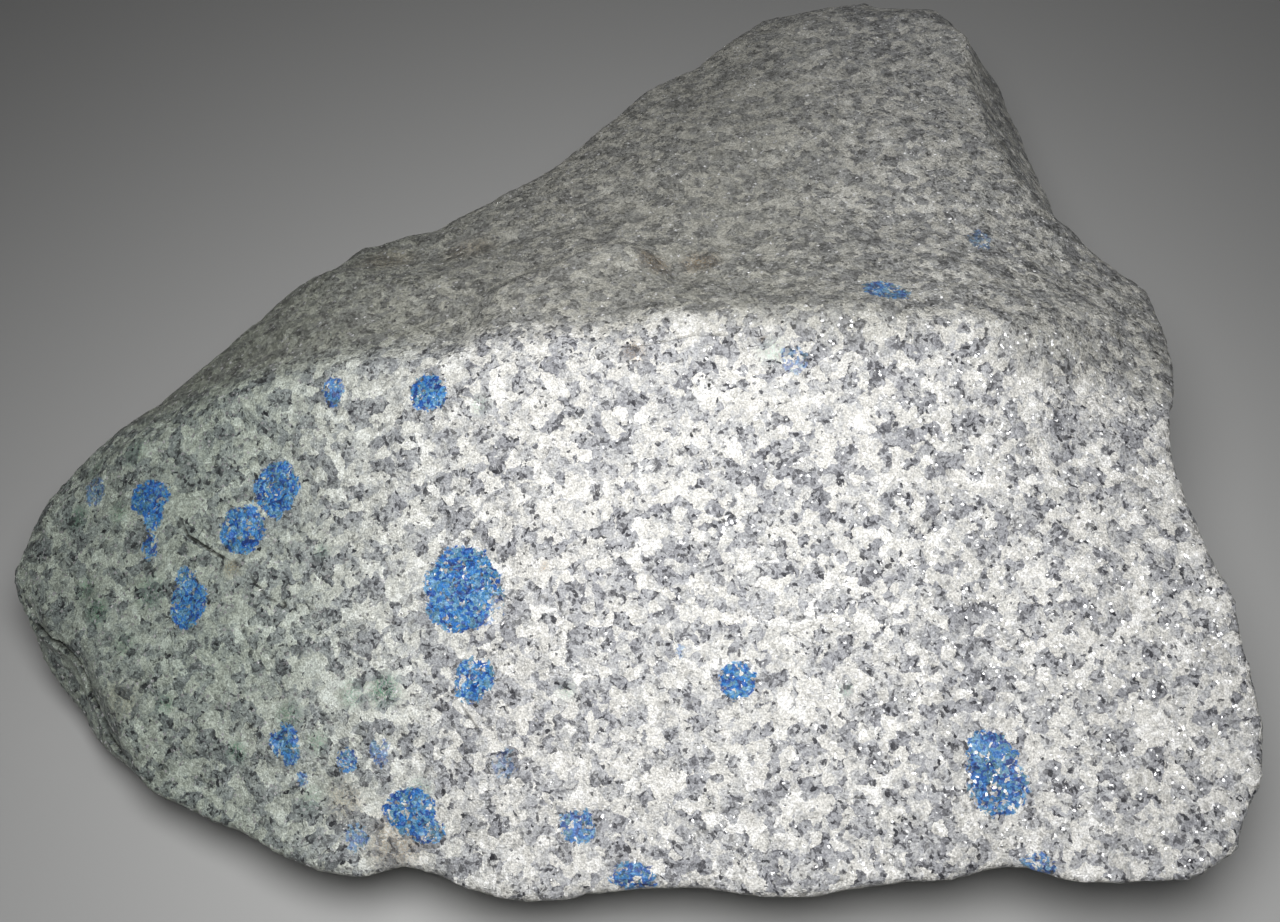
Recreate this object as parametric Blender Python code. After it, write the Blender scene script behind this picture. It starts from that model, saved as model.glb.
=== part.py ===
"""Azurite in granite: one loose, hand-sized piece of broken granite.

The stone is a single solid. Seen from above, its widest line is a rounded
triangle with a blunt tongue at the back. A broad broken face climbs from an
overhanging front rim to a crest. Behind the crest the top falls a little into
a dip and runs out along the tongue. The underside curves in to one small flat
spot, on which the stone rests. The blue spots are only colour in the rock, so
they are not raised here.

Axes: +X to the right, +Y away from the broad face, +Z up.
Origin: under the middle of the stone's box, on the plane that it rests on.
"""
import bpy
import bmesh
from mathutils import Matrix, Vector, kdtree, noise
from mathutils.geometry import delaunay_2d_cdt

MM = 0.001

# Heights and places of the stone's edges, in millimetres.
# Every list below is in one shared survey frame, x y z.

# Widest line round the stone, from the left tip along the front.
RIM = (
    (-81, -7, 15), (-79, -12, 12), (-77, -17, 8), (-74, -21, 6), (-70, -25, 5),
    (-64.5, -30, 7), (-58, -35.5, 11), (-51, -39.5, 12), (-45, -42.5, 13), (-35, -46.5, 14),
    (-31, -47, 14), (-26, -46, 15), (-23, -47, 15), (-20, -49, 15), (-14, -50.5, 15),
    (-7, -50, 16), (0, -49.5, 17), (11, -50, 17), (20, -50, 18), (31, -49, 19),
    (39, -48, 19), (45, -49.5, 20), (51, -51, 20), (58, -50, 21), (65, -47, 22),
    (68.5, -40.5, 24), (69.5, -35, 26), (68.5, -28, 29), (67.5, -21, 32), (65, -14, 34),
    (63.5, -5, 36), (64, 1, 38), (66, 8, 37), (67.5, 17, 35), (67, 25, 34),
    (60, 34, 35), (58, 39, 34), (59, 49, 30), (58.5, 65, 27), (57, 76, 28),
    (52, 83, 32), (47, 86, 35), (40, 87, 35), (36, 90, 35), (29, 87.5, 35),
    (19.5, 86, 35), (8, 74, 34), (0, 70, 33), (-5, 62, 33), (-13, 53, 32),
    (-20, 46.5, 32), (-30, 41, 30), (-38, 38.5, 30), (-42, 32, 31), (-48, 27, 31),
    (-55, 19, 29), (-60, 15, 27), (-66, 11.5, 24), (-73, 7.5, 21), (-78.5, 2, 18),
)

# Lines and points of the top, inside the widest line.
CREST = (
    (-64, 3, 29), (-57, 4, 33), (-50, 5, 37), (-40, 5, 41), (-34, 4, 43),
    (-24, 3.5, 45), (-18, 1.5, 46), (-9, 4, 48), (-2, 2.5, 48), (3, 6, 50),
    (17, 7.5, 50), (27, 6, 50), (37, 6, 49), (47, 7, 46), (56, 13, 42),
)
LEFT_SHOULDER = ((-75.5, -1, 22), (-70, 0, 25), (-64, 3, 29))
LOWER_LEFT_LIP = (
    (-77.5, -10, 16), (-73.6, -15.2, 17), (-69, -18.6, 17.5), (-65.8, -22.8, 17),
    (-62.4, -28.4, 15),
)
LOWER_LEFT_GROOVE = (
    (-76.4, -13.4, 12), (-74.6, -16.4, 11.5), (-70.2, -20, 11), (-67, -24, 10.5),
)
FRONT_FACE = (
    (-60, -14, 24), (-50, -22, 22), (-36, -24, 27), (-34, -8, 36), (-16, -22, 33),
    (4, -28, 30), (8, -8, 42), (30, -24, 33), (46, -12, 38), (52, -32, 28),
)
# The knob behind the crest stands over the ground at its left and its back.
KNOB_EDGE = (
    (-18, 1.5, 46), (-18.7, 5, 46.5), (-18.2, 11, 46), (-16.8, 14.3, 46),
    (-14.9, 16.6, 46), (-11, 18.6, 46), (-7.4, 20.4, 46.2), (-3.7, 21.8, 46.6),
    (0, 21.3, 46.2), (1.2, 18, 45.8),
)
KNOB_FOOT = (
    (-20.8, 6, 44.6), (-20.6, 11.5, 43.4), (-19.2, 15.8, 42.8), (-16.2, 18.8, 42.2),
    (-11.8, 21.2, 42.2), (-8, 23.1, 42.2), (-3.8, 24.4, 42.4), (1.8, 23.6, 42.4),
    (4, 19.6, 42.8),
)
BACK_RIDGE = (
    (-44, 26, 35), (-40, 25, 38), (-30, 22, 40), (-22, 20.5, 41.5), (-16.2, 18.8, 42.2),
)
RIDGE_FOOT = ((-40, 31, 33), (-30, 31, 34), (-20, 32, 36), (-8, 34, 38), (1, 32, 40))
TONGUE_EDGE = (
    (54, 36, 39), (50, 43, 41), (48.5, 51, 41), (48.5, 63, 41), (48.5, 73, 40),
    (43, 80, 39), (24, 78, 39),
)
TONGUE_TOP = (
    (-10, 46, 37), (4, 58, 39), (22, 66, 41), (12, 42, 41), (30, 46, 42),
    (10, 24, 42), (30, 26, 43), (44, 24, 43), (-27, 12, 42), (-38, 14, 39.5),
    (-10, 11, 47), (16, 16, 45),
)

TOP_LINES = (
    CREST, LEFT_SHOULDER, LOWER_LEFT_LIP, LOWER_LEFT_GROOVE,
    KNOB_EDGE, KNOB_FOOT, BACK_RIDGE, RIDGE_FOOT, TONGUE_EDGE,
)

# Lines of the underside, inside the widest line.
BELLY = (
    (-71, -9, 5), (-63, -24, 1.5), (-50, -33, 4), (-30, -40, 6), (0, -41, 4),
    (30, -40, 3), (55, -41, 9), (63, -25, 11), (59, -4, 6), (61, 14, 3),
    (56, 30, 5), (54, 50, 9), (51, 70, 14), (37, 81, 17), (16, 73, 14),
    (-4, 55, 8), (-22, 40, 4), (-43, 27, 11), (-60, 10, 10),
)
RESTING_SPOT = (
    (-28, -8, -1), (-16, -16, -1), (4, -15, -1), (20, -18, -1), (28, -4, -1),
    (26, 10, -1), (30, 22, -1), (18, 32, -1), (8, 30, -1), (-6, 26, -1),
    (-14, 12, -1), (-26, 6, -1),
)
UNDER_LINES = (BELLY + BELLY[:1], RESTING_SPOT + RESTING_SPOT[:1])

# Skin of the stone.
VOXEL = 1.1 * MM
WORN_STEPS = 2
WORN_FACTOR = 0.4
# The broken faces are smoothed everywhere but near the stone's sharp lines.
CRISP_REACH = 2.4 * MM
CRISP_SPACING = 1.0 * MM
FACE_STEPS = 380
FACE_FACTOR = 0.5
# Relief left by the break: wavelength and height of each swell, in millimetres.
SWELLS = ((22.0, 0.9), (9.0, 0.5), (5.0, 0.2))
# Thickness that wear has taken off all round, in millimetres.
WEAR = 0.18
TRIANGLES = 9600
SHORTEST_EDGE = 0.05 * MM

GRANITE_GREY = (0.47, 0.46, 0.43, 1.0)
GRANITE_ROUGHNESS = 0.75


def clear_objects():
    for old in list(bpy.data.objects):
        bpy.data.objects.remove(old, do_unlink=True)


def sheet(bm, rim_verts, lines, points, underside):
    """Fill the rim with triangles that keep every inner line as an edge."""
    verts = list(rim_verts)
    edges = []
    placed = {}
    for line in lines:
        previous = None
        for place in line:
            if place not in placed:
                placed[place] = len(verts)
                verts.append(bm.verts.new(Vector(place) * MM))
            if previous is not None:
                edges.append((previous, placed[place]))
            previous = placed[place]
    for place in points:
        verts.append(bm.verts.new(Vector(place) * MM))
    plan = [vert.co.xy for vert in verts]
    outline = [list(range(len(rim_verts)))]
    inside_only = 1
    result = delaunay_2d_cdt(plan, edges, outline, inside_only, 1e-7)
    flat_faces = result[2]
    origin_of = result[3]
    for face in flat_faces:
        corners = [verts[origin_of[index][0]] for index in face]
        if underside:
            corners.reverse()
        bm.faces.new(corners)


def rough_block():
    """Closed block with the stone's true edges and plain facets."""
    bm = bmesh.new()
    rim = [bm.verts.new(Vector(place) * MM) for place in RIM]
    sheet(bm, rim, TOP_LINES, FRONT_FACE + TONGUE_TOP, underside=False)
    sheet(bm, rim, UNDER_LINES, (), underside=True)
    bmesh.ops.recalc_face_normals(bm, faces=bm.faces)
    mesh = bpy.data.meshes.new("granite_block")
    bm.to_mesh(mesh)
    bm.free()
    return mesh


def evaluated(stone):
    """The stone's mesh with its modifiers applied, which are then removed."""
    graph = bpy.context.evaluated_depsgraph_get()
    mesh = bpy.data.meshes.new_from_object(stone.evaluated_get(graph))
    stone.modifiers.clear()
    stone.data = mesh


def even_skin(stone):
    """Even mesh over the block, with its edges worn a little."""
    remesh = stone.modifiers.new("even_skin", "REMESH")
    remesh.mode = "VOXEL"
    remesh.voxel_size = VOXEL
    worn = stone.modifiers.new("worn_edges", "SMOOTH")
    worn.factor = WORN_FACTOR
    worn.iterations = WORN_STEPS
    evaluated(stone)


def crisp_tree():
    """Places along every sharp line of the stone, for distance look-ups."""
    places = []
    for line in (RIM + RIM[:1],) + TOP_LINES + UNDER_LINES:
        for start, end in zip(line, line[1:]):
            start = Vector(start) * MM
            end = Vector(end) * MM
            count = max(1, round((end - start).length / CRISP_SPACING))
            for step in range(count + 1):
                places.append(start.lerp(end, step / count))
    tree = kdtree.KDTree(len(places))
    for index, place in enumerate(places):
        tree.insert(place, index)
    tree.balance()
    return tree


def smooth_faces(bm):
    """Even out the broken faces and leave the sharp lines alone."""
    tree = crisp_tree()
    inner = [vert for vert in bm.verts if tree.find(vert.co)[2] > CRISP_REACH]
    for _ in range(FACE_STEPS):
        bmesh.ops.smooth_vert(
            bm, verts=inner, factor=FACE_FACTOR,
            use_axis_x=True, use_axis_y=True, use_axis_z=True,
        )


def add_relief(bm):
    """Wear and low swells along the surface normal, the same on every run."""
    bm.normal_update()
    moves = []
    for vert in bm.verts:
        height = -WEAR
        for wavelength, swell in SWELLS:
            height += swell * noise.noise(vert.co / (wavelength * MM))
        moves.append(vert.normal * height * MM)
    for vert, move in zip(bm.verts, moves):
        vert.co += move


def cut_resting_spot(bm):
    """Take off all that reaches below the plane that the stone rests on."""
    geometry = bm.verts[:] + bm.edges[:] + bm.faces[:]
    cut = bmesh.ops.bisect_plane(
        bm, geom=geometry, dist=SHORTEST_EDGE, plane_co=(0, 0, 0),
        plane_no=(0, 0, 1), clear_inner=True,
    )
    border = [item for item in cut["geom_cut"] if isinstance(item, bmesh.types.BMEdge)]
    for edge in border:
        for vert in edge.verts:
            vert.co.z = 0.0
    bmesh.ops.holes_fill(bm, edges=border, sides=0)
    bmesh.ops.dissolve_degenerate(bm, edges=bm.edges, dist=SHORTEST_EDGE)


def centre(bm):
    """Put the origin under the middle of the stone's box."""
    xs = [vert.co.x for vert in bm.verts]
    ys = [vert.co.y for vert in bm.verts]
    middle = Vector(((min(xs) + max(xs)) / 2, (min(ys) + max(ys)) / 2, 0))
    bmesh.ops.transform(bm, matrix=Matrix.Translation(-middle), verts=bm.verts)


def granite_material():
    material = bpy.data.materials.new("granite")
    material.use_nodes = True
    shader = material.node_tree.nodes["Principled BSDF"]
    shader.inputs["Base Color"].default_value = GRANITE_GREY
    shader.inputs["Roughness"].default_value = GRANITE_ROUGHNESS
    shader.inputs["Metallic"].default_value = 0.0
    return material


def make_stone():
    stone = bpy.data.objects.new("granite_block", rough_block())
    bpy.context.scene.collection.objects.link(stone)
    even_skin(stone)
    bm = bmesh.new()
    bm.from_mesh(stone.data)
    smooth_faces(bm)
    add_relief(bm)
    bm.to_mesh(stone.data)
    bm.free()
    thin = stone.modifiers.new("fewer_triangles", "DECIMATE")
    thin.ratio = TRIANGLES / (2 * len(stone.data.polygons))
    evaluated(stone)
    bm = bmesh.new()
    bm.from_mesh(stone.data)
    cut_resting_spot(bm)
    bmesh.ops.triangulate(bm, faces=bm.faces)
    centre(bm)
    bm.to_mesh(stone.data)
    bm.free()
    stone.data.shade_smooth()
    stone.data.materials.append(granite_material())
    return stone


clear_objects()
make_stone()
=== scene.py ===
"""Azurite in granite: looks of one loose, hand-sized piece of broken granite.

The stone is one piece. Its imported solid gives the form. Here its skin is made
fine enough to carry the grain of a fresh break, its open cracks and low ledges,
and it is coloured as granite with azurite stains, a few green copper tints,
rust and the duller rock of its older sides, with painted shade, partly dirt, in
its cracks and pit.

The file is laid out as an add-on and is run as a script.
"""

from collections import namedtuple
from functools import partial
from math import cos, radians, sin

import bmesh
import bpy
from bpy.props import FloatProperty, FloatVectorProperty, IntProperty, PointerProperty
from mathutils import Matrix, Vector, noise
from mathutils.bvhtree import BVHTree


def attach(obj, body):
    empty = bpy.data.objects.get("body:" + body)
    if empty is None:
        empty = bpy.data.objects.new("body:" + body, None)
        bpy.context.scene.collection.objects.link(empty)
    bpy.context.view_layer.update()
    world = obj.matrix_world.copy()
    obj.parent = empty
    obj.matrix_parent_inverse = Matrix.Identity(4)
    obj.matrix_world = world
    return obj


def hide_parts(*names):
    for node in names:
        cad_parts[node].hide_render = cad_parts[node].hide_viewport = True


bl_info = {
    "name": "Azurite in granite",
    "version": (1, 0, 0),
    "blender": (4, 5, 0),
    "location": "3D View > Sidebar > Stone",
    "description": "Dresses a granite block with grain, cracks and azurite stains",
    "category": "Object",
}

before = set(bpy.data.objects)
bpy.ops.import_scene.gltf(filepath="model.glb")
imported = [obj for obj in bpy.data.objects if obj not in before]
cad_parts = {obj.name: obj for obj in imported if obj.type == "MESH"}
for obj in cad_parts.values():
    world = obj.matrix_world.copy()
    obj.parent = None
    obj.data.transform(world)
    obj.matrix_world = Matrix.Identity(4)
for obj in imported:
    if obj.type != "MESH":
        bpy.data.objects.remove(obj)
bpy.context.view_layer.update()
NODE = "granite_block"
BODY = "root"
PIECE = "azurite_in_granite"

MM = 0.001
RIGHT = Vector((1.0, 0.0, 0.0))

# The picture that the named pixels are read in, and its camera's sensor.
PICTURE_WIDE = 1280
PICTURE_TALL = 922
SENSOR_WIDE = 36.0

Spot = namedtuple("Spot", "name pixel wide tall strength bare")
Patch = namedtuple("Patch", "name pixel radius strength")
# In a crack, dirt is how near black it is painted: painted shade in the groove, partly dirt.
Crack = namedtuple("Crack", "name pixels width depth step dirt")

# Azurite stains. A pixel is a stain's middle, wide and tall are its half sizes
# in millimetres, strength is how blue it is and bare the share left unstained.
AZURITE = (
    Spot("large round", (464, 590), 4.5, 4.9, 1.0, 0.05),
    Spot("large round, bare right side", (493, 606), 1.1, 2.2, 0.55, 0.60),
    Spot("twin, upper", (276, 486), 3.05, 3.0, 1.0, 0.06),
    Spot("twin, upper, lower tip", (272, 508), 1.3, 1.3, 1.0, 0.05),
    Spot("twin, lower", (243, 530), 2.85, 2.85, 1.0, 0.03),
    Spot("left wedge", (150, 498), 3.0, 2.3, 1.0, 0.05),
    Spot("left wedge, point", (153, 516), 1.4, 1.5, 1.0, 0.05),
    Spot("left small block", (151, 546), 1.05, 1.6, 0.95, 0.10),
    Spot("left drop", (189, 604), 2.5, 2.9, 1.0, 0.06),
    Spot("left drop, top", (187, 582), 1.5, 1.7, 0.95, 0.20),
    Spot("left edge, faint", (95, 490), 1.5, 2.1, 0.62, 0.20),
    Spot("under crest, left", (333, 391), 1.45, 1.8, 0.9, 0.10),
    Spot("under crest, right", (428, 392), 2.4, 2.2, 1.0, 0.05),
    Spot("below large round", (474, 680), 2.3, 2.5, 1.0, 0.10),
    Spot("middle", (737, 681), 2.05, 1.95, 1.0, 0.06),
    Spot("right, upper lobe", (991, 756), 2.7, 2.75, 0.95, 0.08),
    Spot("right, lower lobe", (999, 787), 3.2, 3.2, 0.95, 0.18),
    Spot("right lower edge", (1038, 866), 1.9, 1.3, 0.85, 0.30),
    Spot("low left, first", (284, 741), 1.8, 1.8, 0.95, 0.08),
    Spot("low left, first, tail", (290, 757), 0.9, 1.2, 0.9, 0.10),
    Spot("low left, second", (347, 760), 1.1, 1.5, 0.9, 0.15),
    Spot("low left, third, faint", (380, 754), 1.2, 1.7, 0.65, 0.25),
    Spot("low left, dot", (303, 780), 0.6, 0.7, 0.8, 0.10),
    Spot("low middle", (409, 811), 3.0, 2.5, 1.0, 0.08),
    Spot("low middle, tail", (427, 831), 1.8, 1.6, 0.95, 0.20),
    Spot("low middle, faint", (355, 838), 1.4, 1.5, 0.65, 0.30),
    Spot("low right of middle, faint", (505, 764), 1.3, 1.7, 0.45, 0.45),
    Spot("lower edge, first", (578, 826), 1.9, 1.9, 0.9, 0.15),
    Spot("lower edge, second", (634, 878), 2.5, 1.6, 0.95, 0.12),
    Spot("behind crest", (886, 290), 2.8, 2.6, 0.9, 0.10),
    Spot("behind crest, faint", (980, 240), 1.4, 1.9, 0.5, 0.30),
    Spot("crest, faint", (794, 360), 1.5, 1.7, 0.55, 0.35),
    Spot("middle dot, faint", (680, 650), 0.5, 0.5, 0.5, 0.20),
)

# Green copper tints, radius in millimetres.
MALACHITE = (
    Patch("by large round", (384, 690), 2.8, 1.0),
    Patch("by large round, left", (352, 694), 2.4, 0.7),
    Patch("low left", (289, 716), 2.4, 0.8),
    Patch("low left, lower", (236, 752), 2.0, 1.0),
    Patch("low left, upper", (165, 704), 1.8, 0.8),
    Patch("left, lower", (97, 612), 2.6, 1.0),
    Patch("left, middle", (86, 590), 2.2, 0.8),
    Patch("left, by drop", (150, 592), 3.0, 0.7),
    Patch("left, below drop", (124, 644), 2.2, 0.6),
    Patch("left edge", (78, 518), 2.4, 0.9),
    Patch("by left wedge", (118, 512), 2.2, 0.7),
    Patch("shoulder", (134, 452), 2.6, 0.6),
    Patch("shoulder, lower", (96, 470), 2.0, 0.6),
    Patch("by low left spots", (318, 742), 2.0, 0.7),
    Patch("by low middle", (420, 790), 2.0, 0.6),
    Patch("by low middle, left", (310, 800), 2.4, 0.5),
    Patch("middle", (846, 690), 1.0, 0.8),
    Patch("right of twins", (322, 552), 1.4, 0.7),
    Patch("right of large round", (566, 690), 1.6, 0.5),
    Patch("by crest, faint", (772, 352), 2.4, 0.5),
    Patch("under crest", (480, 405), 1.6, 0.5),
)

# Rust stains, radius in millimetres.
RUST = (
    Patch("low left", (395, 842), 5.0, 0.6),
    Patch("lower left edge", (345, 800), 3.5, 0.5),
    Patch("hollow behind crest", (655, 262), 3.5, 0.9),
    Patch("hollow behind crest, right", (700, 264), 3.5, 0.9),
    Patch("back strip", (385, 262), 6.0, 0.6),
    Patch("back strip, right", (470, 250), 5.0, 0.5),
    Patch("below first crack", (232, 568), 1.6, 0.8),
    Patch("crest ledge", (634, 352), 2.0, 0.7),
    Patch("low, left of middle", (120, 700), 4.0, 0.4),
    Patch("red fleck, crest", (763, 338), 0.5, 1.0),
    Patch("red fleck, middle", (545, 567), 0.7, 0.8),
)

# Whiter lumps of feldspar, radius in millimetres.
PALE = (
    Patch("streak under crest", (452, 361), 2.6, 1.0),
    Patch("streak under crest, right", (500, 352), 2.2, 0.9),
    Patch("lump behind crest, left", (290, 330), 2.2, 0.8),
    Patch("left of large round", (338, 694), 3.0, 0.9),
    Patch("left of large round, lower", (318, 668), 2.4, 0.7),
    Patch("by left crack", (300, 620), 2.4, 0.6),
    Patch("under crest ledge", (690, 322), 3.2, 0.8),
    Patch("left shoulder", (190, 440), 2.6, 0.5),
    Patch("middle", (760, 560), 4.0, 0.4),
)

# Open cracks and low ledges; width, depth and step in millimetres. The last number
# is how near black each is painted: painted shade in the groove, partly dirt.
CRACKS = (
    Crack("left crack", ((180, 520), (188, 536), (216, 554), (246, 567)), 0.23, 0.45, 0.14, 0.9),
    Crack("left crack, lower", ((246, 567), (256, 584), (270, 598), (283, 605)), 0.20, 0.35, 0.10, 0.8),
    Crack("crack by large round", ((452, 692), (464, 708), (474, 722), (486, 751)), 0.18, 0.3, 0.08, 0.7),
    Crack("faint crack", ((251, 636), (262, 665), (279, 689)), 0.16, 0.22, 0.14, 0.4),
    Crack("crest ledge", ((618, 348), (640, 346), (659, 343), (690, 336), (735, 334)), 0.24, 0.3, 0.4, 0.35),
    Crack("fold behind crest", ((652, 268), (690, 270), (735, 267), (770, 272)), 0.4, 0.3, 0.3, 0.3),
    Crack("fold by crest, right", ((930, 308), (990, 319), (1040, 316)), 0.25, 0.2, 0.3, 0.2),
    # The near black of this gap is a painted shadow under the lip.
    Crack(
        "gap under the lower left lip",
        ((30, 622), (46, 634), (64, 646), (80, 664), (95, 700), (108, 730), (126, 758)),
        0.5, 1.8, 0.5, 1.0,
    ),
)
# The pit at the end of the left crack, in millimetres.
PIT_PIXEL = (283, 605)
PIT_RADIUS = 0.63
PIT_DEPTH = 0.6


def linear(code):
    """Linear colour, with alpha, of an sRGB hex code."""
    parts = [int(code[start:start + 2], 16) / 255 for start in (0, 2, 4)]
    lit = [part / 12.92 if part <= 0.04045 else ((part + 0.055) / 1.055) ** 2.4 for part in parts]
    return (*lit, 1.0)


def colour(name, code, description):
    """A colour setting given as an sRGB hex code."""
    return FloatVectorProperty(
        name=name, description=description, subtype="COLOR", size=4,
        min=0.0, max=1.0, default=linear(code),
    )


def length(name, millimetres, description):
    """A length setting given in millimetres."""
    return FloatProperty(
        name=name, description=description, unit="LENGTH", precision=5,
        min=0.0, default=millimetres * MM,
    )


class StoneShape(bpy.types.PropertyGroup):
    """Sizes of the stone's fine skin."""

    skin_step: length("Skin step", 0.80, "Size of one face of the fine skin")
    facet_rounds: IntProperty(
        name="Facet rounds", description="Times that the packed solid's facets are smoothed",
        min=0, default=4,
    )
    swell_size: length("Swell size", 11.0, "Length of the slow swells of the break")
    swell_height: length("Swell height", 0.40, "Height of the slow swells")
    plate_size: length("Plate size", 5.0, "Size of the small broken plates")
    grain_size: length("Grain size", 2.1, "Size of the mineral grains that stand proud")
    fine_size: length("Fine size", 1.3, "Length of the finest relief of the skin")
    fine_height: length("Fine height", 0.10, "Height of the finest relief")
    base_reach: length("Base reach", 0.8, "Height over the resting spot where relief begins")


class GraniteLook(bpy.types.PropertyGroup):
    """Colours and pattern sizes of the granite."""

    feldspar: colour("Feldspar", "F5F4F1", "White feldspar grains")
    cream: colour("Cream feldspar", "DFDDD7", "Cream feldspar grains")
    grey: colour("Grey feldspar", "C9C9C8", "Greyer feldspar grains")
    clouded: colour("Clouded quartz", "B4B5B8", "Clouded quartz")
    quartz: colour("Quartz", "9A9BA0", "Grey quartz")
    biotite: colour("Biotite", "35353B", "Black mica flakes")
    mica: colour("Pale mica", "F2F2F2", "Bare mica and cleavage faces that flash")
    left_rock: colour("Rock of the left side", "C6D2C8", "Greenish cast of the left side")
    back_rock: colour("Rock of the back", "CFCFC9", "Greyer cast of the older back and underside")
    dust: colour("Dust", "8E8D86", "Fine dirt that evens out the older rock")
    rust: colour("Rust", "B4966F", "Iron stain")
    # Near black painted in the cracks, the gap under the lip and the pit: painted shade, partly dirt.
    crack_shade_and_dirt: colour("Soil", "17150F", "Dirt in the cracks")
    grain: length("Grain", 1.35, "Size of the feldspar and quartz grains")
    cluster: length("Cluster", 3.8, "Size of the clusters of dark flakes")
    flake: length("Flake", 0.42, "Size of the dark flakes")
    glint: length("Glint", 0.30, "Size of the facets that flash")
    mottle: length("Mottle", 0.20, "Size of the fine mottling")


class AzuriteLook(bpy.types.PropertyGroup):
    """Colours and pattern sizes of the copper stains."""

    deep: colour("Deep blue", "1E3E80", "Thick azurite in shade")
    blue: colour("Blue", "2560B2", "Azurite of the full colour")
    sky: colour("Sky blue", "3E88C8", "Thin azurite over white grains")
    teal: colour("Teal grey", "5C8798", "Azurite over quartz")
    pale: colour("Pale blue", "78A9D0", "Azurite dust over white grains")
    green: colour("Malachite", "6FA58A", "Green copper tint")
    grain: length("Stain grain", 0.38, "Size of the grains that the stain follows")


class StageLook(bpy.types.PropertyGroup):
    """Camera, floor and lights."""

    aim: FloatVectorProperty(
        name="Aim", description="Point that the camera looks at", subtype="TRANSLATION",
        unit="LENGTH", size=3, default=(0.00557, -0.01964, 0.030),
    )
    bright: FloatVectorProperty(
        name="Brightest point", description="Point that the soft box faces",
        subtype="TRANSLATION", unit="LENGTH", size=3, default=(0.014, -0.030, 0.036),
    )
    distance: length("Distance", 172.0, "Distance from the aim to the camera")
    elevation: FloatProperty(
        name="Elevation", description="Angle of the camera above the floor", subtype="ANGLE",
        default=radians(52.0),
    )
    lens: FloatProperty(
        name="Lens", description="Focal length in millimetres on a 36 mm sensor",
        min=1.0, default=39.375,
    )
    floor_size: length("Floor size", 4000.0, "Length of each side of the floor")
    floor_colour: colour("Floor", "B4B4B3", "Plain pale floor")
    key_size: length("Key size", 90.0, "Width of the soft box by the camera")
    key_power: FloatProperty(
        name="Key power", description="Power of the soft box in watts", min=0.0, default=0.165,
    )
    key_spread: FloatProperty(
        name="Key spread", description="Angle that the soft box's grid lets through",
        subtype="ANGLE", min=0.0, max=radians(180.0), default=radians(112.0),
    )
    fill_size: length("Fill size", 700.0, "Width of each low soft box round the back")
    fill_power: FloatProperty(
        name="Fill power", description="Power of each low soft box in watts", min=0.0, default=0.55,
    )
    ambient: FloatProperty(
        name="Ambient", description="Strength of the even room light", min=0.0, default=0.022,
    )


def camera_axes(stage):
    """Place of the camera, and its forward and up directions."""
    forward = Vector((0.0, cos(stage.elevation), -sin(stage.elevation)))
    up = RIGHT.cross(forward)
    place = Vector(stage.aim) - forward * stage.distance
    return place, forward, up


def landing(tree, stage, pixel):
    """Point of the stone that a pixel of the picture shows."""
    place, forward, up = camera_axes(stage)
    focal = stage.lens / SENSOR_WIDE * PICTURE_WIDE
    across = (pixel[0] - PICTURE_WIDE / 2) / focal
    down = (pixel[1] - PICTURE_TALL / 2) / focal
    hit = tree.ray_cast(place, forward + RIGHT * across - up * down)[0]
    if hit is None:
        raise RuntimeError(f"pixel {pixel} doesn't land on the stone")
    return hit


def ramp(value, low, high):
    """Smooth step from 0 at low to 1 at high."""
    share = min(1.0, max(0.0, (value - low) / (high - low)))
    return share * share * (3.0 - 2.0 * share)


# Rise of the plates and grains as a share of their size, and the shift that gives
# each of the two patterns its own cells.
PLATE_RISE = 0.07
PLATE_SHIFT = 3.7
GRAIN_RISE = 0.20
GRAIN_SHIFT = 11.3

# Each cell stands at its own level and leans its own way, as shares of its size,
# and is rounded off over its rim. The two factors make unlike draws of one cell.
CELL_LEVEL = 0.35
CELL_LEAN = 0.9
CELL_RIM = 0.35
LEVEL_DRAW = 61.0
LEAN_DRAW = 97.0
HALF = Vector((0.5, 0.5, 0.5))


def facets(place, size, shift):
    """Height of cells that each have their own level and tilt, as a share of size."""
    spot = place / size + Vector((shift, shift, shift))
    distances, centres = noise.voronoi(spot)
    lean = noise.cell_vector(centres[0] * LEAN_DRAW) - HALF
    level = noise.cell_vector(centres[0] * LEVEL_DRAW).x - 0.5
    inside = ramp(distances[1] - distances[0], 0.0, CELL_RIM)
    return (CELL_LEVEL * level + CELL_LEAN * lean.dot(spot - centres[0])) * inside


def skin_relief(place, shape):
    """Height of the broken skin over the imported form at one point."""
    height = shape.swell_height * noise.noise(place / shape.swell_size)
    height += PLATE_RISE * shape.plate_size * facets(place, shape.plate_size, PLATE_SHIFT)
    height += GRAIN_RISE * shape.grain_size * facets(place, shape.grain_size, GRAIN_SHIFT)
    height += shape.fine_height * noise.noise(place / shape.fine_size)
    return height


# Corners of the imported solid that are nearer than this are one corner.
MERGE_GAP = 0.01 * MM


def fine_skin(node, shape):
    """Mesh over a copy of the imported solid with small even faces."""
    bm = bmesh.new()
    bm.from_mesh(node.data)
    bmesh.ops.remove_doubles(bm, verts=bm.verts, dist=MERGE_GAP)
    mesh = bpy.data.meshes.new(PIECE)
    bm.to_mesh(mesh)
    bm.free()
    stone = bpy.data.objects.new(PIECE, mesh)
    bpy.context.scene.collection.objects.link(stone)
    remesh = stone.modifiers.new("even_skin", "REMESH")
    remesh.mode = "VOXEL"
    remesh.voxel_size = shape.skin_step
    worn = stone.modifiers.new("no_facets", "SMOOTH")
    worn.factor = 0.5
    worn.iterations = shape.facet_rounds
    graph = bpy.context.evaluated_depsgraph_get()
    stone.data = bpy.data.meshes.new_from_object(stone.evaluated_get(graph))
    stone.modifiers.clear()
    bpy.data.meshes.remove(mesh)
    stone.data.name = PIECE
    return stone


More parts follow.
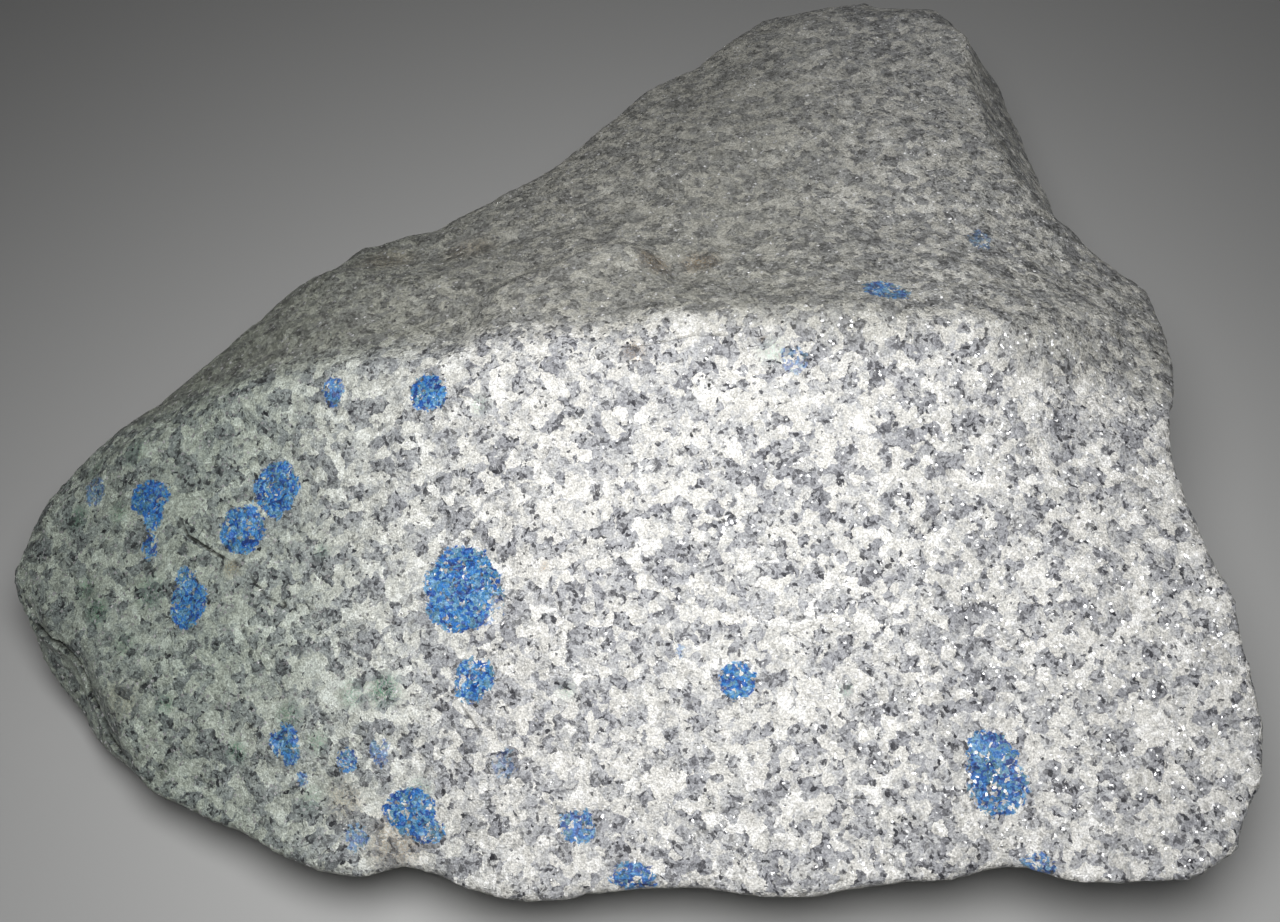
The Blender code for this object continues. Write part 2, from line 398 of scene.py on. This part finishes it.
def raise_skin(bm, shape):
    """Move the skin out and in along its normals, but not on the resting spot."""
    bm.normal_update()
    moves = []
    for vert in bm.verts:
        fade = ramp(vert.co.z, 0.0, shape.base_reach)
        moves.append(vert.normal * skin_relief(vert.co, shape) * fade)
    for vert, move in zip(bm.verts, moves):
        vert.co += move
        vert.co.z = max(0.0, vert.co.z)


def nearest_on(path, place):
    """Nearest point of a path of points, and the direction of the path there."""
    best = None
    for start, end in zip(path, path[1:]):
        along = end - start
        share = min(1.0, max(0.0, (place - start).dot(along) / along.length_squared))
        point = start + along * share
        gap = (place - point).length
        if best is None or gap < best[0]:
            best = (gap, point, along)
    return best


def wander(path, step, reach):
    """The path in short steps, each moved a little aside, as a real crack runs."""
    points = []
    for start, end in zip(path, path[1:]):
        count = max(1, round((end - start).length / step))
        for number in range(count):
            point = start.lerp(end, number / count)
            points.append(point + noise.noise_vector(point / step * 0.7) * reach)
    points.append(path[-1])
    return points


# Cracks, in millimetres. A crack runs in short steps that stray a little, and the
# skin is cut finer beside it. It gets shallow at its ends, down to a share of its
# depth. A ledge is full near the crack and dies away from it. Painted shade, partly
# dirt, lies in it between the two shares of its width.
CRACK_STEP = 0.7
CRACK_STRAY = 0.22
CRACK_BESIDE = 0.75
CRACK_CUTS = 5
CRACK_END = 2.0
CRACK_LEAST = 0.3
LEDGE_NEAR = 0.2
LEDGE_FAR = 2.5
SHADE_AND_DIRT_FULL = 0.3
SHADE_AND_DIRT_NONE = 1.1
BOX_MARGIN = 3.0


def box_test(path):
    """A test that says whether a point is in the box round a path."""
    low = [min(point[axis] for point in path) - BOX_MARGIN * MM for axis in range(3)]
    high = [max(point[axis] for point in path) + BOX_MARGIN * MM for axis in range(3)]
    return lambda place: all(low[axis] < place[axis] < high[axis] for axis in range(3))


def is_beside(face, path, near):
    """Whether a face of the skin lies close to a path."""
    if not near(face.verts[0].co):
        return False
    return nearest_on(path, face.calc_center_median())[0] < CRACK_BESIDE * MM


def refine_beside(bm, runs):
    """Cut the skin's faces along all the cracks into smaller ones, in one step."""
    close = [
        face for face in bm.faces
        if any(is_beside(face, path, near) for crack, path, near in runs)
    ]
    edges = list(dict.fromkeys(edge for face in close for edge in face.edges))
    bmesh.ops.subdivide_edges(bm, edges=edges, cuts=CRACK_CUTS, use_grid_fill=True)


def sink_crack(bm, crack, path, near, crack_shade_and_dirt):
    """Sink the skin along a path, raise the ledge on one side, write painted shade, partly dirt."""
    half = crack.width * MM
    for vert in bm.verts:
        if not near(vert.co):
            continue
        gap, point, along = nearest_on(path, vert.co)
        ends = min((point - path[0]).length, (point - path[-1]).length)
        fade = ramp(ends, 0.0, CRACK_END * MM)
        side = along.normalized().cross(vert.normal).dot(vert.co - point)
        step = crack.step * MM * fade * (1.0 - ramp(gap, LEDGE_NEAR * MM, LEDGE_FAR * MM))
        if side < 0:
            step = 0.0
        deep = max(fade, CRACK_LEAST)
        sink = crack.depth * MM * (1.0 - ramp(gap, 0.0, half)) * deep
        vert.co += vert.normal * (step - sink)
        # Painted shade in the crack, partly dirt: how near black the skin is painted here.
        dirt = crack.dirt * (1.0 - ramp(gap, half * SHADE_AND_DIRT_FULL, half * SHADE_AND_DIRT_NONE)) * deep
        vert[crack_shade_and_dirt] = max(vert[crack_shade_and_dirt], dirt)


def sink_pit(bm, middle, crack_shade_and_dirt):
    """Sink the small round pit at the end of the left crack, with painted shade, partly dirt."""
    for vert in bm.verts:
        gap = (vert.co - middle).length
        if gap < PIT_RADIUS * MM:
            depth = 1.0 - ramp(gap, 0.0, PIT_RADIUS * MM)
            vert.co -= vert.normal * PIT_DEPTH * MM * depth
            # Painted shade, partly dirt, darkest at the pit's middle.
            vert[crack_shade_and_dirt] = max(vert[crack_shade_and_dirt], depth)


def open_cracks(bm, tree, stage):
    """Refine the skin along each crack, sink it there and write its painted shade, partly dirt."""
    # The crack layer holds the painted shade, partly dirt, of the cracks and the pit.
    crack_shade_and_dirt = bm.verts.layers.float.new("crack")
    runs = []
    for crack in CRACKS:
        corners = [landing(tree, stage, pixel) for pixel in crack.pixels]
        path = wander(corners, CRACK_STEP * MM, CRACK_STRAY * MM)
        runs.append((crack, path, box_test(path)))
    refine_beside(bm, runs)
    for crack, path, near in runs:
        bm.normal_update()
        sink_crack(bm, crack, path, near, crack_shade_and_dirt)
    sink_pit(bm, landing(tree, stage, PIT_PIXEL), crack_shade_and_dirt)


# Distance that stands for no azurite near, in millimetres.
FAR_OUTSIDE = -9.0
# How far round a stain its distance is written, as a multiple of its half size.
SPOT_FAR = 3.0


def spot_reach(place, middle, spot):
    """How far inside a stain's edge a point is, in millimetres; below 0 is outside."""
    offset = (place - middle) / MM
    across = offset.dot(RIGHT)
    along = (offset - RIGHT * across).length
    share = ((across / spot.wide) ** 2 + (along / spot.tall) ** 2) ** 0.5
    return (1.0 - share) * (spot.wide + spot.tall) / 2


# Share of its radius over which a patch is full.
PATCH_FULL = 0.25


def spread_patches(bm, tree, stage, name, patches):
    """Write round soft patches as one value on the skin."""
    layer = bm.verts.layers.float.new(name)
    for patch in patches:
        middle = landing(tree, stage, patch.pixel)
        reach = patch.radius * MM
        for vert in bm.verts:
            gap = (vert.co - middle).length
            if gap < reach:
                share = patch.strength * (1.0 - ramp(gap, PATCH_FULL * reach, reach))
                vert[layer] = max(vert[layer], share)


def spread_azurite(bm, tree, stage):
    """Write the azurite stains: distance inside the edge, strength and bare share."""
    layers = bm.verts.layers.float
    inside = layers.new("azurite")
    strength = layers.new("azurite_strength")
    bare = layers.new("azurite_bare")
    for vert in bm.verts:
        vert[inside] = FAR_OUTSIDE
    for spot in AZURITE:
        middle = landing(tree, stage, spot.pixel)
        far = SPOT_FAR * max(spot.wide, spot.tall) * MM
        for vert in bm.verts:
            if (vert.co - middle).length < far:
                reach = spot_reach(vert.co, middle, spot)
                if reach > vert[inside]:
                    vert[inside] = reach
                    vert[strength] = spot.strength
                    vert[bare] = spot.bare


# Casts of the rock, in millimetres, with edges that drift. The left side's is full
# from the left as far as LEFT_FULL and ends at LEFT_NONE. The back's begins behind
# the crest at BACK_NONE and loses a share from RIGHT_FROM to RIGHT_TO. Faces that
# look down have it too, by the upward part of their direction.
DRIFT_REACH = 6.0
DRIFT_SIZE = 14.0
LEFT_FULL = -52.0
LEFT_NONE = -4.0
BACK_NONE = -17.0
BACK_FULL = -10.0
BACK_SLANT = 0.05
BACK_DRIFT = 0.4
RIGHT_FROM = 15.0
RIGHT_TO = 45.0
RIGHT_LOSS = 0.45
UNDER_FULL = -0.3
UNDER_NONE = 0.25


def spread_casts(bm):
    """Write where the rock has the cast of the left side, and of the older back."""
    left = bm.verts.layers.float.new("left_rock")
    back = bm.verts.layers.float.new("back_rock")
    for vert in bm.verts:
        x, y, z = vert.co / MM
        drift = DRIFT_REACH * noise.noise(vert.co / (DRIFT_SIZE * MM))
        vert[left] = 1.0 - ramp(x + drift, LEFT_FULL, LEFT_NONE)
        behind = ramp(y + BACK_SLANT * x + BACK_DRIFT * drift, BACK_NONE, BACK_FULL)
        behind *= 1.0 - RIGHT_LOSS * ramp(x, RIGHT_FROM, RIGHT_TO)
        under = 1.0 - ramp(vert.normal.z, UNDER_FULL, UNDER_NONE)
        vert[back] = max(behind, under)


def add(tree, kind, settings=None, links=None, stops=()):
    """Add a node with its settings; links gives each input a value, a node or a socket."""
    made = tree.nodes.new(kind)
    for name, value in (settings or {}).items():
        setattr(made, name, value)
    for name, value in (links or {}).items():
        if isinstance(name, int):
            socket = made.inputs[name]
        else:
            socket = next(item for item in made.inputs if item.name == name and item.enabled)
        if isinstance(value, bpy.types.Node):
            value = next(item for item in value.outputs if item.enabled)
        if isinstance(value, bpy.types.NodeSocket):
            tree.links.new(value, socket)
        else:
            socket.default_value = value
    ends = {0.0: 0, 1.0: -1}
    for place, shade in stops:
        if place in ends:
            element = made.color_ramp.elements[ends[place]]
        else:
            element = made.color_ramp.elements.new(place)
        element.color = shade
    return made


def new_material(name):
    """An empty material with its shader and output."""
    material = bpy.data.materials.new(name)
    material.use_nodes = True
    tree = material.node_tree
    tree.nodes.clear()
    return material, tree


COLOUR_MIX = {"data_type": "RGBA"}
COLOUR_TIMES = {"data_type": "RGBA", "blend_type": "MULTIPLY", "clamp_result": True}
SOFT_STEP = {"interpolation_type": "SMOOTHSTEP"}
TIMES = {"operation": "MULTIPLY"}
TIMES_PLUS = {"operation": "MULTIPLY_ADD"}
LESS = {"operation": "SUBTRACT"}
MORE_THAN = {"operation": "GREATER_THAN"}

# Sizes in millimetres of the patterns that no setting gives: the bend of the
# grains and how far it moves them, the soft clouds, and the wave of a stain's edge.
BEND_SIZE = 1.25
BEND_REACH = 1.6
CLOUD_SIZE = 1.05
WAVE_SIZE = 1.8

# How much of the older rock the dust covers, how strong the soft stains get, how
# much of the dark mica shows through azurite, and how many small facets flash.
DUST_SHARE = 0.38
STAIN_SHARE = 0.9
MICA_SHARE = 0.55
FLASH_SHARE = 0.035

# What the looks of the bare rock are made of, for the layers over it.
Pattern = namedtuple("Pattern", "colour dark mottle shade bent")


def skin_value(node, name):
    """A value that was written on the skin."""
    return node("ShaderNodeAttribute", {"attribute_name": name}).outputs["Fac"]


def weighed(node, start, parts):
    """Start plus each part times its weight."""
    total = start
    for part, weight in parts:
        total = node("ShaderNodeMath", TIMES_PLUS, {0: part, 1: weight, 2: total})
    return total


def draws(node, place, size):
    """Grains of a size in millimetres, with three random draws for each."""
    grains = node("ShaderNodeTexVoronoi", {}, {"Vector": place, "Scale": 1 / size})
    return node("ShaderNodeSeparateColor", {}, {"Color": grains.outputs["Color"]})


def rock_pattern(node, mm, rock):
    """Bare granite, from coordinates in millimetres."""
    bend = node("ShaderNodeTexNoise", {}, {"Vector": mm, "Scale": 1 / BEND_SIZE, "Detail": 3.0})
    bent = node(
        "ShaderNodeVectorMath", TIMES_PLUS,
        {0: bend.outputs["Color"], 1: (BEND_REACH, BEND_REACH, BEND_REACH), 2: mm},
    )
    grain = draws(node, bent, rock.grain / MM)
    cluster = node(
        "ShaderNodeTexNoise", {}, {"Vector": bent, "Scale": MM / rock.cluster, "Detail": 2.0},
    )
    cloud = node(
        "ShaderNodeTexNoise", {},
        {"Vector": bent, "Scale": 1 / CLOUD_SIZE, "Detail": 2.0, "Roughness": 0.65},
    )
    pale = skin_value(node, "pale")
    # The draws add up to a tone of about 0.5, with 0.13 to either side.
    tone = weighed(node, -0.10, ((grain, 0.34), (cluster, 0.40), (cloud, 0.46), (pale, 0.20)))
    minerals = node(
        "ShaderNodeValToRGB", {}, {"Fac": tone},
        stops=(
            (0.0, rock.quartz), (0.30, rock.quartz), (0.41, rock.clouded), (0.50, rock.grey),
            (0.60, rock.cream), (0.72, rock.feldspar), (1.0, rock.feldspar),
        ),
    )

    # Dark flakes crowd where the tone is low: 42 of 100 there, and 2 in the white rock.
    flake = draws(node, bent, rock.flake / MM)
    crowd = node(
        "ShaderNodeMapRange", SOFT_STEP,
        {"Value": tone, "From Min": 0.64, "From Max": 0.30, "To Min": 0.02, "To Max": 0.42},
    )
    dark = node("ShaderNodeMath", LESS, {0: crowd, 1: flake.outputs[0]})
    dark = node("ShaderNodeMapRange", SOFT_STEP, {"Value": dark, "From Min": -0.02, "From Max": 0.08})
    black = node("ShaderNodeMapRange", {}, {"Value": flake.outputs[1], "To Min": 0.35, "To Max": 1.0})
    dark = node("ShaderNodeMath", TIMES, {0: dark, 1: black})
    speckled = node("ShaderNodeMix", COLOUR_MIX, {"Factor": dark, "A": minerals, "B": rock.biotite})

    mottle = node(
        "ShaderNodeTexNoise", {}, {"Vector": mm, "Scale": MM / rock.mottle, "Detail": 1.0},
    )
    shade = node(
        "ShaderNodeMapRange", {},
        {"Value": mottle, "From Min": 0.3, "From Max": 0.7, "To Min": 0.66, "To Max": 1.22},
    )
    mottled = node("ShaderNodeMix", COLOUR_TIMES, {"Factor": 1.0, "A": speckled, "B": shade})
    return Pattern(mottled, dark, mottle, shade, bent)


def cast(node, below, rock):
    """Casts of the left side and of the older rock, with its even dust."""
    left = skin_value(node, "left_rock")
    back = skin_value(node, "back_rock")
    below = node("ShaderNodeMix", COLOUR_TIMES, {"Factor": left, "A": below, "B": rock.left_rock})
    below = node("ShaderNodeMix", COLOUR_TIMES, {"Factor": back, "A": below, "B": rock.back_rock})
    dust = node("ShaderNodeMath", TIMES, {0: back, 1: DUST_SHARE})
    return node("ShaderNodeMix", COLOUR_MIX, {"Factor": dust, "A": below, "B": rock.dust})


def tint(node, below, name, mottle, stain):
    """A soft stain that is stronger where the mottling is high."""
    patchy = node(
        "ShaderNodeMapRange", SOFT_STEP,
        {"Value": mottle, "From Min": 0.38, "From Max": 0.60, "To Max": STAIN_SHARE},
    )
    share = node("ShaderNodeMath", TIMES, {0: skin_value(node, name), 1: patchy})
    return node("ShaderNodeMix", COLOUR_TIMES, {"Factor": share, "A": below, "B": stain})


def azurite(node, below, mm, pattern, rock, copper):
    """Azurite over the rock: round stains whose edge and colour follow the grains."""
    grain = draws(node, pattern.bent, copper.grain / MM)
    wave = node("ShaderNodeTexNoise", {}, {"Vector": mm, "Scale": 1 / WAVE_SIZE, "Detail": 2.0})
    edge = weighed(
        node, skin_value(node, "azurite"),
        ((grain.outputs[0], 0.5), (wave, 1.6), (pattern.mottle, 0.4)),
    )
    # The weights add 1.25 on average, so the edge is where the sum passes that.
    stained = node("ShaderNodeMapRange", SOFT_STEP, {"Value": edge, "From Min": 1.12, "From Max": 1.34})
    kept = node(
        "ShaderNodeMath", MORE_THAN, {0: grain.outputs[1], 1: skin_value(node, "azurite_bare")},
    )
    stained = node("ShaderNodeMath", TIMES, {0: stained, 1: kept})
    stained = node("ShaderNodeMath", TIMES, {0: stained, 1: skin_value(node, "azurite_strength")})

    # Neighbouring grains tend to one blue, and each differs a little.
    shared = node("ShaderNodeMath", TIMES_PLUS, {0: wave, 1: 1.1, 2: -0.55})
    choice = node("ShaderNodeMath", {"operation": "ADD"}, {0: grain.outputs[2], 1: shared})
    blues = node(
        "ShaderNodeValToRGB", {}, {"Fac": choice},
        stops=(
            (0.0, copper.deep), (0.25, copper.blue), (0.52, copper.sky),
            (0.78, copper.teal), (1.0, copper.pale),
        ),
    )
    blues = node("ShaderNodeMix", COLOUR_TIMES, {"Factor": 1.0, "A": blues, "B": pattern.shade})
    flecks = node("ShaderNodeMath", TIMES, {0: pattern.dark, 1: MICA_SHARE})
    blues = node("ShaderNodeMix", COLOUR_MIX, {"Factor": flecks, "A": blues, "B": rock.biotite})
    return node("ShaderNodeMix", COLOUR_MIX, {"Factor": stained, "A": below, "B": blues})


def tilted_facets(node, mm, size):
    """Small facets: the random colour of each, and its height as a tilted flat."""
    cells = node("ShaderNodeTexVoronoi", {}, {"Vector": mm, "Scale": MM / size})
    tilt = node("ShaderNodeVectorMath", LESS, {0: cells.outputs["Color"], 1: HALF})
    lever = node("ShaderNodeVectorMath", LESS, {0: mm, 1: cells.outputs["Position"]})
    height = node("ShaderNodeVectorMath", {"operation": "DOT_PRODUCT"}, {0: tilt, 1: lever})
    return cells.outputs["Color"], height.outputs["Value"]


# Granite: a coarse rock of white feldspar, grey quartz and black mica, broken and
# not polished, so that each grain has its own tilt and a few flash in the light.
# Azurite: a blue copper mineral that here only stains the grains.
def broken_granite(rock, copper):
    material, tree = new_material("broken_granite_with_azurite")
    node = partial(add, tree)
    place = node("ShaderNodeTexCoord").outputs["Object"]
    mm = node("ShaderNodeVectorMath", {"operation": "SCALE"}, {"Vector": place, "Scale": 1 / MM})

    pattern = rock_pattern(node, mm, rock)
    layers = cast(node, pattern.colour, rock)
    layers = tint(node, layers, "rust", pattern.mottle, rock.rust)
    layers = tint(node, layers, "malachite", pattern.mottle, copper.green)
    layers = azurite(node, layers, mm, pattern, rock, copper)
    # Painted shade, partly dirt: cracks, the gap under the lip and the pit go near black.
    crack = skin_value(node, "crack")
    layers = node("ShaderNodeMix", COLOUR_MIX, {"Factor": crack, "A": layers, "B": rock.crack_shade_and_dirt})

    glint_colour, glint_height = tilted_facets(node, mm, rock.glint)
    grain_height = tilted_facets(node, mm, rock.grain)[1]
    glint = node("ShaderNodeSeparateColor", {}, {"Color": glint_colour})
    flash = node("ShaderNodeMath", MORE_THAN, {0: glint.outputs[0], 1: 1 - FLASH_SHARE})
    layers = node("ShaderNodeMix", COLOUR_MIX, {"Factor": flash, "A": layers, "B": rock.mica})
    height = weighed(node, 0.0, ((glint_height, 0.8), (grain_height, 0.5), (pattern.mottle, 0.12)))
    bump = node("ShaderNodeBump", {}, {"Strength": 1.0, "Distance": MM, "Height": height})
    rough = node("ShaderNodeMapRange", {}, {"Value": glint.outputs[1], "To Min": 0.28, "To Max": 0.75})
    shader = node(
        "ShaderNodeBsdfPrincipled", {},
        {"Base Color": layers, "Metallic": flash, "Roughness": rough, "IOR": 1.53, "Normal": bump},
    )
    node("ShaderNodeOutputMaterial", {}, {"Surface": shader})
    return material


# Painted board: a smooth matt sheet with almost no marks.
def matt_board(stage):
    material, tree = new_material("matt_painted_board")
    place = add(tree, "ShaderNodeTexCoord").outputs["Object"]
    # Roller texture of about 2 mm.
    marks = add(tree, "ShaderNodeTexNoise", {}, {"Vector": place, "Scale": 500.0, "Detail": 1.0})
    bump = add(
        tree, "ShaderNodeBump", {}, {"Strength": 0.1, "Distance": 0.1 * MM, "Height": marks.outputs[0]},
    )
    shader = add(
        tree, "ShaderNodeBsdfPrincipled", {},
        {"Base Color": stage.floor_colour, "Roughness": 0.7, "Normal": bump},
    )
    add(tree, "ShaderNodeOutputMaterial", {}, {"Surface": shader})
    return material


# Low soft boxes that light the sides and the back from just over the floor, in
# metres, and the point that they face.
FILL_PLACES = {
    "back_fill": (0.1, 0.80, 0.20),
    "left_fill": (-0.95, 0.15, 0.25),
    "right_fill": (0.95, 0.15, 0.25),
}
FILL_TARGET = Vector((0.0, 0.0, 0.02))
KEY_OVER_CAMERA = 40.0 * MM
NEAREST_SEEN = 10.0 * MM
ROOM_WHITE = "F2F4F7"


def facing(place, direction):
    """Matrix of a camera or light at a place that looks along a direction."""
    return Matrix.Translation(place) @ direction.to_track_quat("-Z", "Y").to_matrix().to_4x4()


class MakeStage(bpy.types.Operator):
    """Make the camera, the pale floor and the soft lights"""

    bl_idname = "stone.make_stage"
    bl_label = "Make stage"

    def execute(self, context):
        scene = context.scene
        stage = scene.stage_look
        place, forward, up = camera_axes(stage)
        self.make_camera(scene, stage, facing(place, forward))
        self.make_floor(scene, stage)
        key = self.soft_box(
            scene, "key", place + up * KEY_OVER_CAMERA, Vector(stage.bright), stage.key_size,
        )
        key.data.energy = stage.key_power
        key.data.spread = stage.key_spread
        for name, corner in FILL_PLACES.items():
            fill = self.soft_box(scene, name, Vector(corner), FILL_TARGET, stage.fill_size)
            fill.data.energy = stage.fill_power
        self.light_room(scene, stage)
        scene.view_settings.view_transform = "Standard"
        return {"FINISHED"}

    def make_camera(self, scene, stage, matrix):
        """The picture's camera."""
        lens = bpy.data.cameras.new("camera")
        lens.sensor_width = SENSOR_WIDE
        lens.lens = stage.lens
        lens.clip_start = NEAREST_SEEN
        camera = bpy.data.objects.new("camera", lens)
        camera.matrix_world = matrix
        scene.collection.objects.link(camera)
        scene.camera = camera

    def make_floor(self, scene, stage):
        """A plain flat floor."""
        bm = bmesh.new()
        bmesh.ops.create_grid(bm, x_segments=1, y_segments=1, size=stage.floor_size / 2)
        mesh = bpy.data.meshes.new("floor")
        bm.to_mesh(mesh)
        bm.free()
        floor = bpy.data.objects.new("floor", mesh)
        floor.data.materials.append(matt_board(stage))
        scene.collection.objects.link(floor)

    def soft_box(self, scene, name, place, target, size):
        """One round area light that faces its target and isn't seen itself."""
        lamp = bpy.data.lights.new(name, "AREA")
        lamp.shape = "DISK"
        lamp.size = size
        light = bpy.data.objects.new(name, lamp)
        light.matrix_world = facing(place, target - place)
        light.visible_camera = False
        scene.collection.objects.link(light)
        return light

    def light_room(self, scene, stage):
        """Even light from all round."""
        world = bpy.data.worlds.new("studio")
        world.use_nodes = True
        background = world.node_tree.nodes["Background"]
        background.inputs["Color"].default_value = linear(ROOM_WHITE)
        background.inputs["Strength"].default_value = stage.ambient
        scene.world = world


class MakeStone(bpy.types.Operator):
    """Make the fine skin of the stone, its cracks, stains and granite finish"""

    bl_idname = "stone.make_stone"
    bl_label = "Make stone"

    def execute(self, context):
        scene = context.scene
        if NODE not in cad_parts:
            raise RuntimeError(f"the packed model has no {NODE}")
        stone = fine_skin(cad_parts[NODE], scene.stone_shape)
        bm = bmesh.new()
        bm.from_mesh(stone.data)
        raise_skin(bm, scene.stone_shape)
        tree = BVHTree.FromBMesh(bm)
        open_cracks(bm, tree, scene.stage_look)
        spread_azurite(bm, tree, scene.stage_look)
        for name, patches in (("malachite", MALACHITE), ("rust", RUST), ("pale", PALE)):
            spread_patches(bm, tree, scene.stage_look, name, patches)
        bm.normal_update()
        spread_casts(bm)
        bm.to_mesh(stone.data)
        bm.free()
        stone.data.shade_smooth()
        stone.data.materials.clear()
        stone.data.materials.append(broken_granite(scene.granite_look, scene.azurite_look))
        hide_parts(NODE)
        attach(stone, BODY)
        return {"FINISHED"}


class StonePanel(bpy.types.Panel):
    """Settings and steps of the stone"""

    bl_idname = "VIEW3D_PT_stone"
    bl_label = "Azurite in granite"
    bl_space_type = "VIEW_3D"
    bl_region_type = "UI"
    bl_category = "Stone"

    def draw(self, context):
        for step in (MakeStage, MakeStone):
            self.layout.operator(step.bl_idname)
        for group in ("stage_look", "stone_shape", "granite_look", "azurite_look"):
            box = self.layout.box()
            settings = getattr(context.scene, group)
            for name in settings.bl_rna.properties.keys():
                if name not in ("rna_type", "name"):
                    box.prop(settings, name)


GROUPS = {
    "stage_look": StageLook,
    "stone_shape": StoneShape,
    "granite_look": GraniteLook,
    "azurite_look": AzuriteLook,
}
STEPS = (MakeStage, MakeStone, StonePanel)


def register():
    for name, group in GROUPS.items():
        bpy.utils.register_class(group)
        setattr(bpy.types.Scene, name, PointerProperty(type=group))
    for step in STEPS:
        bpy.utils.register_class(step)


def unregister():
    for step in reversed(STEPS):
        bpy.utils.unregister_class(step)
    for name, group in reversed(GROUPS.items()):
        delattr(bpy.types.Scene, name)
        bpy.utils.unregister_class(group)


def main():
    register()
    bpy.ops.stone.make_stage()
    bpy.ops.stone.make_stone()


if __name__ == "__main__":
    main()
